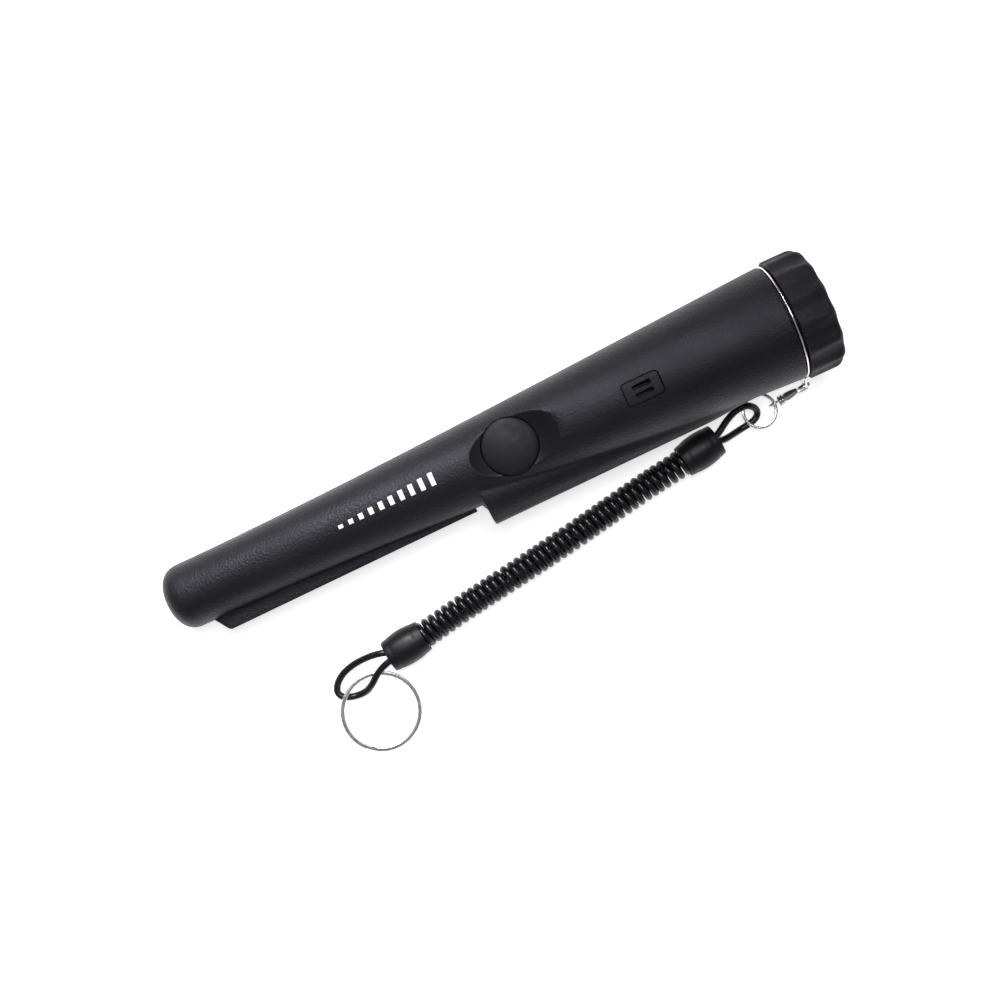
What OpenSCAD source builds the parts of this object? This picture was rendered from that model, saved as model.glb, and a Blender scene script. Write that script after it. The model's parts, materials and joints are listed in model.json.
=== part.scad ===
// Hand-held pinpointer probe: tapered body, screw-on battery cap, coiled lanyard.
// The probe is drawn along its own axis, x from the tip, then laid on the table with its
// button up. The lanyard is drawn on the table, x from the tip and y from the probe's axis.

/* [Body] */
// Length from tip to cap
body_len = 240; // [230:1:250]
// Radius just behind the nose
nose_r = 11.3; // [10.8:0.1:11.6]
// Radius at the hanger ring
rear_r = 20.1; // [19.8:0.05:20.2]
// Wall thickness of the forward body
wall = 2.2; // [1.8:0.1:2.6]
// Length of the rounded nose
nose_len = 8; // [6:0.5:10]

/* [Scraper and lamp] */
// Thickness of the scraper blade
blade_t = 3; // [2:0.5:4]
// Reach of the blade from the axis, at the nose
blade_reach = 16.5; // [15.5:0.1:17]
// Front face of the lamp barrel
barrel_x = 112; // [108:1:114]
// Radius of the lamp barrel's front face
barrel_r = 11.2; // [10.5:0.1:11.5]

/* [Button and grille] */
// Middle of the push button
button_x = 127.3; // [125:0.5:130]
// Radius of the push button
button_r = 9.5; // [8.5:0.1:9.5]
// How far the button travels
button_travel = 0.9; // [0.6:0.1:1]
// Middle of the sounder grille
grille_x = 174; // [172:1:176]

/* [Cap] */
// Flutes round the cap
flutes = 14; // [10:2:18]
// Radius over the crests of the flutes
crest_r = 21; // [20.8:0.1:21.4]
// Depth of a flute
flute_depth = 0.9; // [0.4:0.1:1.2]

/* [Lanyard] */
// Thickness of the cord
cord_d = 2.3; // [2:0.1:2.5]
// Radius over the coiled cord
coil_r = 4.7; // [4.2:0.1:5]
// Outer radius of the key ring
key_ring_r = 14; // [13.5:0.1:14.2]

/* [Hidden] */
$fn = 96;
eps = 0.01;
case_black = [0.10, 0.10, 0.11];
rubber_black = [0.05, 0.05, 0.06];
steel = [0.78, 0.79, 0.80];
board_green = [0.05, 0.35, 0.18];

// Body
rear_x = 225.5;
shape_x = 15;
step_x = 10;
nose_power = 2.5;
spigot_r = 18.4;
spigot_end = 227.1;
mouth_r = 17.45;
mouth_x = 213;
bay_r = 16;
bay_x = 184;
tip_wall = 3;
blade_x = 11.5;
blade_root = 14.9;

// Lamp barrel: a slim cone that leans out of the body as it narrows towards the rear
barrel_off = 10.4;
barrel_lead = 6;
barrel_len = 100;
barrel_lean = 4.1;
barrel_taper = 0.0875;
lamp_y = -13.4;
lamp_r = 3;
lamp_depth = 15.5;

// Button: a dish in the top of the body, a stepped bore in its floor and a domed button
dish_r = 31;
dish_z = 10.6;
dish_lead = 0.5;
button_gap = 0.3;
pad_under = 8.4;
pad_len = 38;
button_top = 13.4;
button_dome = 38.2;
flange_r = 10.8;
well_gap = 0.35;
well_floor = 4.5;
flange_t = 1.5;
stem_r = 1.6;
plunger_r = 1.75;
plunger_top = 5.6;

// Sounder, behind the grille
grille_y = -1.2;
grille_len = 12.8;
grille_wide = 7.8;
grille_floor = 15.4;
grille_gap = 0.25;
slot_len = 6;
slot_wide = 1.2;
slot_pitch = 2.8;
buzzer_r = 6.5;
buzzer_z = 8.2;
buzzer_top = 13.2;

// Battery, snap and pads
cell_x = 185.6;
cell_len = 45.4;
cell_w = 26.2;
cell_h = 17;
cell_corner = 2.5;
post_len = 2.9;
post_pitch = 12.7;
snap_t = 3.4;

// Cap
cap_x = 227.3;
cap_edge = 3.5;
cap_lip = 0.5;
scallop_half = crest_r * sin(150 / flutes);
scallop_r = (scallop_half ^ 2 + flute_depth ^ 2) / (2 * flute_depth);
scallop_y = crest_r - flute_depth + scallop_r;
plug_r = 17.37;
plug_x = 214.6;
cup_r = 16.1;
cup_end = 236.8;
seal_r = 18.05;
seal_wire = 0.6;
seal_x = 227.95;

// Board
board_x = 98;
board_end = 172;
board_half = 9.4;
board_t = 1.6;
screw_xs = [103, 166];
tray_t = 2;
switch_side = 6;
switch_h = 3.5;

// Search coil, in the nose
rod_r = 4;
rod_x = 12;
rod_end = 74;
bobbin_x = 19;
bobbin_end = 61;
bobbin_flange = 1.4;
bobbin_r = 8.9;
winding_r = 8;
spacer_t = 4;

// Vibration motor, lying behind the search coil
motor_z = -3;
motor_r = 3;
motor_x = 78;
motor_end = 89;
weight_r = 3.4;
weight_x = 91;
weight_len = 3.5;
shaft_r = 0.5;

// Hanger ring, and the ear the lanyard hangs from
hanger_x = 225.85;
hanger_t = 1;
hanger_in = 18.48;
ear_r = 24.4;
ear_angle = 23;
ear_hole = 1.3;
ear_round = 2.3;

// How the body lies: on its nose, and on the cap's crests either side of its lowest flute
rest_x = cap_x + cap_lip;
rest_r = (crest_r ^ 2 + scallop_y ^ 2 - scallop_r ^ 2) / (2 * scallop_y);
lie_tilt = atan((rest_r - nose_r) / (rest_x - nose_len));
lie_z = rest_r * cos(lie_tilt) - rest_x * sin(lie_tilt) + 0.02;
low_y = -ear_r * cos(ear_angle) - ear_round;
mid_y = (low_y + crest_r) / 2;
mid_x = (body_len * cos(lie_tilt) + (crest_r - cap_edge) * sin(lie_tilt)) / 2;

// Clasp: its hook is a round link through the ear, its tail leans down to the table
hook_drop = 11.5;
clasp_lean = 27.7;
hook_in = 1.8;
hook_out = 3.1;
hook_mid = (hook_in + hook_out) / 2;
hook_t = 1.6;
trunk_t = 2.2;
pivot = [4.1, 1.1];
pin_r = 0.5;
lever_from = 18;
lever_to = 94;
lever_room = 20;
lever_slit = 14;
link_u = 11.7;
link_ring = 1.75;
link_wire = 0.5;
swivel_r = 0.55;

// Small ring between the clasp and the cord
small_ring_r = 6.2;
small_ring_w = 1;
small_ring_h = 1.7;

// Ferrules: the middle of the face the coil leaves by, and the heading of the barrel
ferrule_len = 14;
ferrule_mid_r = 6.35;
ferrule_end_r = 5.5;
ferrule_near_pos = [178.7, -29.0, 6.4];
ferrule_far_pos = [73.3, -45.8, 6.4];
near_turn = 9.7;
far_turn = 187.1;
coil_z = 5.6;

// Key ring, leaning on the cord that it hangs from
key_ring_w = 1.4;
key_ring_h = 2;
key_ring_pos = [48.8, -63.7, 2.32];
key_ring_tilt = 5.3;
key_ring_turn = 41;

// Cord loops, from ferrule to ring and back
near_route = [
    [191.0, -26.0, 6.9], [194.0, -24.8, 6.6], [198.0, -22.5, 6.1], [201.5, -20.9, 5.6],
    [204.5, -20.3, 5.8], [207.0, -20.6, 5.6], [209.0, -21.9, 4.0], [209.9, -23.4, 2.3],
    [209.4, -25.1, 1.4], [207.6, -26.2, 1.2], [205.2, -26.7, 1.2], [202.2, -27.1, 1.3],
    [199.0, -27.5, 2.6], [195.5, -27.8, 4.4], [191.5, -27.6, 5.6]];
far_route = [
    [60.5, -45.9, 6.9], [57.5, -45.3, 6.5], [54.0, -44.8, 5.6], [50.0, -44.8, 3.8],
    [46.0, -45.3, 2.2], [42.0, -46.6, 1.3], [39.0, -48.8, 1.2], [37.6, -51.4, 1.2],
    [38.4, -53.6, 1.2], [40.6, -54.8, 1.2], [43.6, -55.5, 1.3], [47.0, -55.3, 2.2],
    [50.2, -53.7, 4.3], [53.2, -51.4, 5.5], [56.4, -49.8, 5.9], [60.0, -49.1, 6.2]];

// Placing
module in_frame() { translate([-mid_x, -mid_y, 0]) children(); }
module on_table() {
    in_frame() translate([0, 0, lie_z]) rotate([0, -lie_tilt, 0]) children();
}

// Radius of the body at x: a smooth rise from nose_r to rear_r
function body_r(x) = let (t = (x - shape_x) / (rear_x - shape_x), s = rear_x - shape_x)
    (2 * t ^ 3 - 3 * t ^ 2 + 1) * nose_r + (t ^ 3 - 2 * t ^ 2 + t) * s * 0.01
    + (3 * t ^ 2 - 2 * t ^ 3) * rear_r + (t ^ 3 - t ^ 2) * s * 0.05;

// A solid turned about the probe's axis, from points [x, radius]
module turned(points) {
    rotate([0, 90, 0]) rotate_extrude() polygon([for (p = points) [p[1], p[0]]]);
}
module bar(x0, x1, r, y = 0, z = 0) {
    translate([x0, y, z]) rotate([0, 90, 0]) cylinder(h = x1 - x0, r = r);
}
module block(x, y, z) {
    translate([x[0], y[0], z[0]]) cube([x[1] - x[0], y[1] - y[0], z[1] - z[0]]);
}
module pill(length, width) {
    for (s = [-1, 1]) translate([s * (length - width) / 2, 0]) circle(d = width);
    square([length - width, width], center = true);
}
module rounded(size, r) {
    square([size[0] - 2 * r, size[1]], center = true);
    square([size[0], size[1] - 2 * r], center = true);
    for (sx = [-1, 1], sy = [-1, 1])
        translate([sx * (size[0] / 2 - r), sy * (size[1] / 2 - r)]) circle(r = r);
}

// Housing
// The nose is a superellipse, blunt at its end; inset draws the inside of its wall
function nose_points(inset) = [
    for (a = [0:10:90]) [
        inset + (nose_len - inset * 0.2) * (1 - cos(a) ^ (2 / nose_power)),
        (nose_r - inset) * sin(a) ^ (2 / nose_power)]];

module body_outer() {
    turned(concat(nose_points(0), [[shape_x, nose_r]],
        [for (x = [shape_x + step_x:step_x:rear_x]) [x, body_r(x)]],
        [[rear_x - 0.4, rear_r], [rear_x, rear_r - 0.4], [rear_x, spigot_r],
         [spigot_end, spigot_r], [spigot_end, 0]]));
}
module body_inner() {
    turned(concat(nose_points(tip_wall),
        [for (x = [shape_x:step_x:175]) [x, body_r(x) - wall]],
        [[bay_x - 1, bay_r], [mouth_x, bay_r], [mouth_x, mouth_r],
         [spigot_end + eps, mouth_r], [spigot_end + eps, 0]]));
}
module lamp_barrel() {
    intersection() {
        translate([barrel_x, -barrel_off, 0]) rotate([0, 90, -barrel_lean])
            translate([0, 0, -barrel_lead])
                cylinder(h = barrel_len + barrel_lead,
                         r1 = barrel_r + barrel_taper * barrel_lead,
                         r2 = barrel_r - barrel_taper * barrel_len);
        block([barrel_x, rear_x], [-30, 0], [-20, 20]);
    }
}
module scraper() {
    translate([0, 0, -blade_t / 2]) linear_extrude(blade_t) polygon([
        [blade_x, 3 - nose_r], [blade_x, 0.8 - nose_r], [blade_x + 3.7, 0.6 - blade_reach],
        [blade_x + 4.7, -blade_reach], [barrel_x + 2, -blade_root], [barrel_x + 2, -10]]);
}
module button_pad() {
    block([button_x - pad_len / 2, button_x + pad_len / 2], [-15, 15], [pad_under, 16]);
}
module button_well() {
    translate([button_x, 0, well_floor])
        cylinder(h = pad_under - well_floor, r = flange_r + well_gap);
}
module sounder_well() {
    translate([grille_x, 0, buzzer_top - 3]) cylinder(h = 6, r = buzzer_r + 1.5);
}
module grille_slots() {
    for (s = [-1, 1]) translate([grille_x, grille_y + s * slot_pitch / 2, buzzer_top - 1])
        linear_extrude(8) pill(slot_len, slot_wide);
}
module housing_shell() color(case_black) on_table() difference() {
    union() {
        body_outer();
        lamp_barrel();
        scraper();
    }
    difference() {
        body_inner();
        button_pad();
        sounder_well();
    }
    button_well();
    // Lamp bore
    bar(barrel_x - 1, barrel_x + lamp_depth, lamp_r, lamp_y);
    // Dish and bore of the button
    translate([button_x + dish_lead, 0, dish_z + dish_r]) sphere(r = dish_r, $fn = 180);
    translate([button_x, 0, pad_under - 1]) cylinder(h = 8, r = button_r + button_gap);
    // Pocket, slots and sounder seat
    translate([grille_x, grille_y, grille_floor]) linear_extrude(6)
        rounded([grille_len + 2 * grille_gap, grille_wide + 2 * grille_gap], 1.6);
    grille_slots();
    translate([grille_x, 0, buzzer_top - 5]) cylinder(h = 5, r = buzzer_r);
}
module speaker_grille() color(case_black) on_table() difference() {
    intersection() {
        body_outer();
        translate([grille_x, grille_y, grille_floor]) linear_extrude(6)
            rounded([grille_len, grille_wide], 1.4);
    }
    grille_slots();
}

// Lamp
module led_lens() color([0.9, 0.95, 1, 0.6]) on_table() translate([barrel_x, lamp_y, 0]) {
    bar(0.1, 2.2, lamp_r);
    intersection() {
        translate([2, 0, 0]) sphere(r = 3.6);
        bar(-3, 0.2, lamp_r - 0.2);
    }
}
module led() color([0.95, 0.93, 0.8]) on_table() translate([barrel_x, lamp_y, 0]) {
    translate([5, 0, 0]) sphere(r = 2.4);
    bar(5, 9, 2.4);
    bar(9, 10, lamp_r);
}
module led_leads() color(steel) on_table() for (s = [-1, 1]) {
    bar(barrel_x + 10, barrel_x + 13 + s, 0.35, lamp_y, 1.25 * s);
    translate([barrel_x + 13 + s, lamp_y - 0.3, 1.25 * s]) rotate([-90, 0, 0])
        cylinder(h = 4.3, r = 0.35);
}

// Button and switch
module power_button() color(rubber_black) on_table() translate([button_x, 0, 0]) {
    intersection() {
        translate([0, 0, pad_under - button_gap - flange_t])
            cylinder(h = button_top - pad_under + button_gap + flange_t, r = button_r);
        translate([0, 0, button_top - button_dome]) sphere(r = button_dome, $fn = 180);
    }
    translate([0, 0, pad_under - button_gap - flange_t]) cylinder(h = flange_t, r = flange_r);
    translate([0, 0, plunger_top]) cylinder(h = 1.5, r = stem_r);
}
module switch_plunger() color("dimgray") on_table()
    translate([button_x, 0, 4]) cylinder(h = plunger_top - 4, r = plunger_r);
module switch_body() color("silver") on_table() difference() {
    block([button_x - switch_side / 2, button_x + switch_side / 2],
          [-switch_side / 2, switch_side / 2], [board_t / 2, board_t / 2 + switch_h]);
    translate([button_x, 0, 2.6]) cylinder(h = 5, r = plunger_r + button_gap);
}

// Board
module circuit_board() color(board_green) on_table() difference() {
    block([board_x, board_end], [-board_half, board_half], [-board_t / 2, board_t / 2]);
    for (x = screw_xs) translate([x, 0, -5]) cylinder(h = 10, r = 1.1);
}
module board_components() color("dimgray") on_table() {
    top = board_t / 2;
    block([141, 148], [-3.5, 3.5], [top, top + 1.2]);
    block([152, 157], [-2, 2], [top, top + 1.5]);
    block([151, 161], [4, 7.5], [top, top + 3]);
    for (y = [-6, 6]) translate([110, y, top]) cylinder(h = 6.5, r = 2.5);
    translate([109, 0, top]) cylinder(h = 5, r = 2);
    for (x = [116:3:137], y = [-7.5, 7.5])
        translate([x, y, top]) linear_extrude(0.6) square([2, 1.2], center = true);
    for (x = [140:3:158])
        translate([x, -6.5, top]) linear_extrude(0.6) square([1.2, 2], center = true);
}
module board_tray() color("gray") on_table() difference() {
    union() {
        block([board_x, board_end], [-8.8, 8.8], [-board_t / 2 - tray_t, -board_t / 2]);
        for (x = [board_x, 132, 168]) intersection() {
            bar(x, x + 4, body_r(x) - wall - 0.1);
            block([x - 1, x + 5], [-15, 15], [-20, -board_t / 2]);
        }
    }
    for (x = screw_xs) translate([x, 0, -9]) cylinder(h = 10, r = 0.9);
}
module board_screws() color(steel) on_table() for (x = screw_xs) {
    translate([x, 0, -6]) cylinder(h = 6.8, r = 0.9);
    translate([x, 0, board_t / 2]) difference() {
        cylinder(h = 1.2, r = 1.9);
        for (a = [0, 90]) rotate(a) translate([-1.2, -0.2, 0.6]) cube([2.4, 0.4, 1]);
    }
}
module buzzer() color([0.12, 0.12, 0.13]) on_table() translate([grille_x, 0, 0]) difference() {
    translate([0, 0, buzzer_z]) cylinder(h = buzzer_top - buzzer_z - 0.05, r = buzzer_r);
    translate([0, 0, buzzer_top - 1]) cylinder(h = 2, r = 1.2);
}

// Vibration motor
module vibration_motor() color(steel) on_table() {
    bar(motor_x, motor_end, motor_r, 0, motor_z);
    bar(motor_end, weight_x + weight_len + 0.5, shaft_r - 0.06, 0, motor_z);
}
module motor_weight() color([0.55, 0.53, 0.5]) on_table() difference() {
    bar(weight_x, weight_x + weight_len, weight_r, 0, motor_z);
    bar(weight_x - 1, weight_x + weight_len + 1, shaft_r, 0, motor_z);
    block([weight_x - 1, weight_x + weight_len + 1], [-5, 5], [motor_z + 0.9, 5]);
}
module motor_mount() color("gray") on_table() difference() {
    bar(motor_x + 2, motor_x + 6, body_r(motor_x) - wall - 0.1);
    bar(motor_x, motor_end, motor_r, 0, motor_z);
    block([motor_x, motor_end], [-4.5, 4.5], [4.5, 20]);
}

// Search coil
module tip_pad() color("darkgray") on_table() bar(tip_wall + 2, rod_x, 6);
module ferrite_rod() color([0.2, 0.2, 0.22]) on_table() bar(rod_x, rod_end, rod_r);
module coil_bobbin() color([0.85, 0.83, 0.75]) on_table() difference() {
    union() {
        bar(bobbin_x, bobbin_end, rod_r + 1);
        bar(bobbin_x, bobbin_x + bobbin_flange, bobbin_r);
        bar(bobbin_end - bobbin_flange, bobbin_end, bobbin_r);
    }
    bar(bobbin_x - 1, bobbin_end + 1, rod_r);
}
module coil_winding() color([0.72, 0.4, 0.2]) on_table() difference() {
    bar(bobbin_x + bobbin_flange, bobbin_end - bobbin_flange, winding_r);
    bar(bobbin_x, bobbin_end, rod_r + 1);
}
module rod_holder() color("gray") on_table() difference() {
    bar(rod_end - spacer_t - 2, rod_end - 2, body_r(rod_end - spacer_t - 2) - wall - 0.1);
    bar(rod_end - 12, rod_end, rod_r);
    block([rod_end - 12, rod_end], [-4.5, 4.5], [5.2, 20]);
}
module sense_leads() color([0.7, 0.15, 0.12]) on_table() for (y = [-2.5, 2.5]) {
    bar(bobbin_end, 100, 0.5, y, 6.4);
    translate([100, y, board_t / 2]) cylinder(h = 6.1 - board_t / 2, r = 0.5);
}

// Battery
module battery() color([0.75, 0.6, 0.3]) on_table() translate([cell_x, 0, 0])
    rotate([0, 90, 0]) linear_extrude(cell_len) rounded([cell_h, cell_w], cell_corner);
module battery_terminals() color(steel) on_table() {
    bar(cell_x - post_len, cell_x, 2.8, post_pitch / 2);
    bar(cell_x - post_len, cell_x, 4.2, -post_pitch / 2);
}
module battery_snap() color(rubber_black) on_table() difference() {
    translate([cell_x - snap_t, 0, 0]) rotate([0, 90, 0]) linear_extrude(snap_t - 0.1)
        rounded([12.6, 24.5], 5.5);
    bar(cell_x - post_len, cell_x + 1, 2.8, post_pitch / 2);
    bar(cell_x - post_len, cell_x + 1, 4.2, -post_pitch / 2);
}
module snap_leads() color([0.7, 0.12, 0.1]) on_table() for (y = [-4, 4])
    bar(board_end - 4, cell_x - snap_t, 0.6, y, board_t / 2 + 0.6);
module battery_pads() color([0.25, 0.25, 0.27]) on_table() difference() {
    bar(cell_x + 4, mouth_x, bay_r - 0.05);
    block([cell_x, mouth_x + 1], [-20, 20], [-cell_h / 2, cell_h / 2]);
}

// Cap, its seal and its cushion
module battery_cap() color(case_black) on_table() difference() {
    union() {
        difference() {
            turned(concat([[cap_x, 0], [cap_x, crest_r - cap_lip], [cap_x + cap_lip, crest_r]],
                [for (a = [0:15:90]) [body_len - cap_edge * (1 - sin(a)),
                                      crest_r - cap_edge * (1 - cos(a))]],
                [[body_len, 0]]));
            for (i = [0:flutes - 1]) rotate([(i + 0.5) * 360 / flutes, 0, 0])
                bar(cap_x - 1, body_len + 1, scallop_r, scallop_y);
        }
        bar(plug_x, cap_x + 1, plug_r);
    }
    bar(plug_x - 1, cup_end, cup_r);
    difference() {
        bar(cap_x - 1, cap_x + 1.4, seal_r + 0.9);
        bar(cap_x - 2, cap_x + 2, plug_r);
    }
}
module cap_seal() color([0.6, 0.12, 0.08]) on_table() translate([seal_x, 0, 0])
    rotate([0, 90, 0]) rotate_extrude() translate([seal_r, 0]) circle(r = seal_wire, $fn = 24);
module cap_cushion() color("darkgray") on_table()
    bar(cell_x + cell_len + 0.3, cup_end, cup_r - 0.6);

// Hanger ring with its ear
module hanger_ring() color(steel) on_table() difference() {
    union() {
        bar(hanger_x, hanger_x + hanger_t, rear_r);
        rotate([ear_angle, 0, 0]) {
            translate([0, -ear_r, 0]) bar(hanger_x, hanger_x + hanger_t, ear_round);
            translate([hanger_x, 0, 0]) rotate([0, 90, 0]) linear_extrude(hanger_t)
                polygon([[-7, -18.6], [-2.1, -ear_r - 0.9], [2.1, -ear_r - 0.9], [7, -18.6]]);
        }
    }
    bar(hanger_x - 1, hanger_x + 2, hanger_in);
    rotate([ear_angle, 0, 0]) bar(hanger_x - 1, hanger_x + 2, ear_hole, -ear_r);
}

// Clasp, drawn flat: u runs from the hook to the tail, the hook's middle at the origin
function ear_place() = let (x = hanger_x + hanger_t / 2, y = -ear_r * cos(ear_angle),
                            z = -ear_r * sin(ear_angle))
    [x * cos(lie_tilt) - z * sin(lie_tilt), y, x * sin(lie_tilt) + z * cos(lie_tilt) + lie_z];
function link_place() = let (v = -hook_mid - link_u * sin(clasp_lean))
    ear_place() + [-link_u * cos(clasp_lean), v * sin(hook_drop), v * cos(hook_drop)];
module on_clasp() {
    in_frame() translate(ear_place()) rotate([90 - hook_drop, 0, 0])
        translate([0, -hook_mid, 0]) rotate([0, 0, 180 + clasp_lean]) children();
}
module across(t) { translate([0, 0, -t / 2]) linear_extrude(t) children(); }
module sector(from, to) {
    polygon(concat([[0, 0]], [for (a = [from:8:to]) 5 * [cos(a), sin(a)]],
                   [5 * [cos(to), sin(to)]]));
}
module clasp_body() color(steel) on_clasp() difference() {
    union() {
        across(hook_t) difference() {
            circle(r = hook_out);
            circle(r = hook_in);
            sector(lever_from - lever_room, lever_to + lever_slit);
        }
        across(trunk_t) polygon([[2.4, -2.1], [8.9, -1.5], [8.9, 1.5], [6.6, 2.0],
                                 [5.4, 2.0], [5.4, -0.2], [2.4, -0.6]]);
        for (s = [-1, 1]) translate([pivot[0], pivot[1], s * 1.05 - 0.25])
            cylinder(h = 0.5, r = 1.4);
        for (s = [-1, 1]) translate([3.4, -1.2, s * 1.05 - 0.25]) cube([2.6, 2.4, 0.5]);
    }
    translate([pivot[0], pivot[1], -3]) cylinder(h = 6, r = pin_r);
    // Window for the swivel's head, and its bore
    translate([5.9, -1.3, -3]) cube([1.6, 2.6, 6]);
    rotate([0, 90, 0]) cylinder(h = 12, r = swivel_r + 0.07);
}
module clasp_lever() color(steel) on_clasp() difference() {
    union() {
        across(hook_t - 0.1) intersection() {
            difference() {
                circle(r = hook_out);
                circle(r = hook_in + 0.1);
            }
            sector(lever_from, lever_to);
        }
        across(hook_t - 0.1) polygon([[2.0, 1.0], [pivot[0], pivot[1] - 0.85],
            [pivot[0] + 0.9, pivot[1]], [pivot[0], pivot[1] + 0.9], [2.3, 2.1]]);
        translate([3.3, 2.5, 0]) across(hook_t - 0.1) circle(r = 0.9);
    }
    translate([pivot[0], pivot[1], -3]) cylinder(h = 6, r = pin_r + 0.06);
}
module clasp_pin() color(steel) on_clasp()
    translate([pivot[0], pivot[1], -1.35]) cylinder(h = 2.7, r = pin_r);
module clasp_swivel() color(steel) on_clasp() {
    translate([link_u, 0, 0]) rotate_extrude() translate([link_ring, 0])
        circle(r = link_wire, $fn = 24);
    bar(6.3, 7.2, 1);
    bar(7, link_u - link_ring, swivel_r);
}

// Rings: flat split rings of two close turns
module ring(r, w, h) {
    rotate_extrude() translate([r - w / 2, 0]) square([w, h], center = true);
}
module small_split_ring() color(steel) in_frame()
    translate(link_place() - [small_ring_r - small_ring_w / 2, 0, 0])
        ring(small_ring_r, small_ring_w, small_ring_h);
module key_ring() color(steel) in_frame()
    translate(key_ring_pos) rotate([0, 0, key_ring_turn]) rotate([key_ring_tilt, 0, 0])
        ring(key_ring_r, key_ring_w, key_ring_h);

// Cord: ferrules, the coil's outer shape, and the two loops
module ferrule(place, turn) {
    color(rubber_black) in_frame() translate(place) rotate([0, 90, turn]) rotate_extrude()
        polygon(concat([[0, 0]],
            [for (i = [0:8]) [ferrule_end_r + (ferrule_mid_r - ferrule_end_r)
                              * sin(22.5 * i), ferrule_len * i / 8]],
            [[0, ferrule_len]]));
}
module ferrule_near() ferrule(ferrule_near_pos, near_turn);
module ferrule_far() ferrule(ferrule_far_pos, far_turn);
module cord_coil() {
    span = ferrule_near_pos - ferrule_far_pos;
    color(rubber_black) in_frame()
        translate([ferrule_far_pos[0], ferrule_far_pos[1], coil_z])
            rotate([0, 90, atan2(span[1], span[0])]) cylinder(h = norm(span), r = coil_r);
}

// A tube swept along a route: a ring of corners at each point, joined by quads
function unit(v) = v / norm(v);
function heading(route, i) =
    unit(route[min(i + 1, len(route) - 1)] - route[max(i - 1, 0)]);
module cord_tube(route) {
    sides = 8;
    n = len(route);
    points = [for (i = [0:n - 1]) let (
        t = heading(route, i), a = unit(cross([0, 0, 1], t)), b = cross(t, a))
        for (k = [0:sides - 1]) route[i] + cord_d / 2
            * (cos(360 * k / sides) * a + sin(360 * k / sides) * b)];
    faces = concat(
        [[for (k = [0:sides - 1]) k]],
        [for (i = [0:n - 2], k = [0:sides - 1]) let (j = (k + 1) % sides)
            [i * sides + j, i * sides + k, (i + 1) * sides + k, (i + 1) * sides + j]],
        [[for (k = [sides - 1:-1:0]) (n - 1) * sides + k]]);
    color(rubber_black) in_frame() polyhedron(points, faces);
}
module cord_loop_near() cord_tube(near_route);
module cord_loop_far() cord_tube(far_route);

housing_shell();
speaker_grille();
led_lens();
led();
led_leads();
power_button();
switch_plunger();
switch_body();
circuit_board();
board_components();
board_tray();
board_screws();
buzzer();
vibration_motor();
motor_weight();
motor_mount();
tip_pad();
ferrite_rod();
coil_bobbin();
coil_winding();
rod_holder();
sense_leads();
battery();
battery_terminals();
battery_snap();
snap_leads();
battery_pads();
battery_cap();
cap_seal();
cap_cushion();
hanger_ring();
clasp_body();
clasp_lever();
clasp_pin();
clasp_swivel();
small_split_ring();
cord_loop_near();
ferrule_near();
cord_coil();
ferrule_far();
cord_loop_far();
key_ring();
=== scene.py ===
"""Looks of the pinpointer probe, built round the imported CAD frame.

Two sets of millimetre coordinates are used, and both are turned into the frame's metres by a
matrix. PROBE: x from the tip along the probe's own axis, z towards the button. TABLE: x from the
tip, y from the probe's axis, z up from the table; the lanyard is laid out in it.
"""
import json
import math

import bmesh
import bpy
import numpy as np
from mathutils import Matrix, Vector


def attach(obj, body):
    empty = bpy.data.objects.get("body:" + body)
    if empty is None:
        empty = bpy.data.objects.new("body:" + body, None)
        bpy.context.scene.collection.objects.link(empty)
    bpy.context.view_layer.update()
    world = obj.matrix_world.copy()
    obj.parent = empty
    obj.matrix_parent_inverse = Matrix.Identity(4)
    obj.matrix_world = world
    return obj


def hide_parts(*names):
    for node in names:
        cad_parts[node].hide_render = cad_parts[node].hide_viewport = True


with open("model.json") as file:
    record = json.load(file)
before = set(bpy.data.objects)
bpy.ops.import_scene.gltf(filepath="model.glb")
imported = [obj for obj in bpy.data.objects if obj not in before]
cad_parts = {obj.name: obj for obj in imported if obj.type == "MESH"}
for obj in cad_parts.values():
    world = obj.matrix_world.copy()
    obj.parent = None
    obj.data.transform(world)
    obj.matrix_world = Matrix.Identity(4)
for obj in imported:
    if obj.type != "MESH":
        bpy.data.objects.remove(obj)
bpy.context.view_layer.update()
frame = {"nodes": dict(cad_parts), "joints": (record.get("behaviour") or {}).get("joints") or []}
MM = 0.001

joints = {j["name"]: j for j in frame["joints"]}
along = Vector(joints["cap_travel"]["axis"]).normalized()
CAP_JOINT_X = 232  # the cap joint's place along the probe
TIP = Vector(joints["cap_twist"]["pos_m"]) - CAP_JOINT_X * MM * along
PROBE = Matrix((
    (along.x, 0, -along.z, TIP.x),
    (0, 1, 0, TIP.y),
    (along.z, 0, along.x, TIP.z),
    (0, 0, 0, 1))) @ Matrix.Scale(MM, 4)
TABLE = Matrix.Translation((TIP.x, TIP.y, 0)) @ Matrix.Scale(MM, 4)

# ---------------------------------------------------------------- camera
eye = bpy.data.objects.new("Camera", bpy.data.cameras.new("Camera"))
bpy.context.scene.collection.objects.link(eye)
eye.data.lens = 50
eye.data.sensor_width = 36
eye.data.clip_start, eye.data.clip_end = 0.01, 20
eye.location = TABLE @ Vector((116.4, -14.6, 482))
eye.rotation_euler = (0, 0, math.radians(-24.65))
bpy.context.scene.camera = eye


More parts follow.
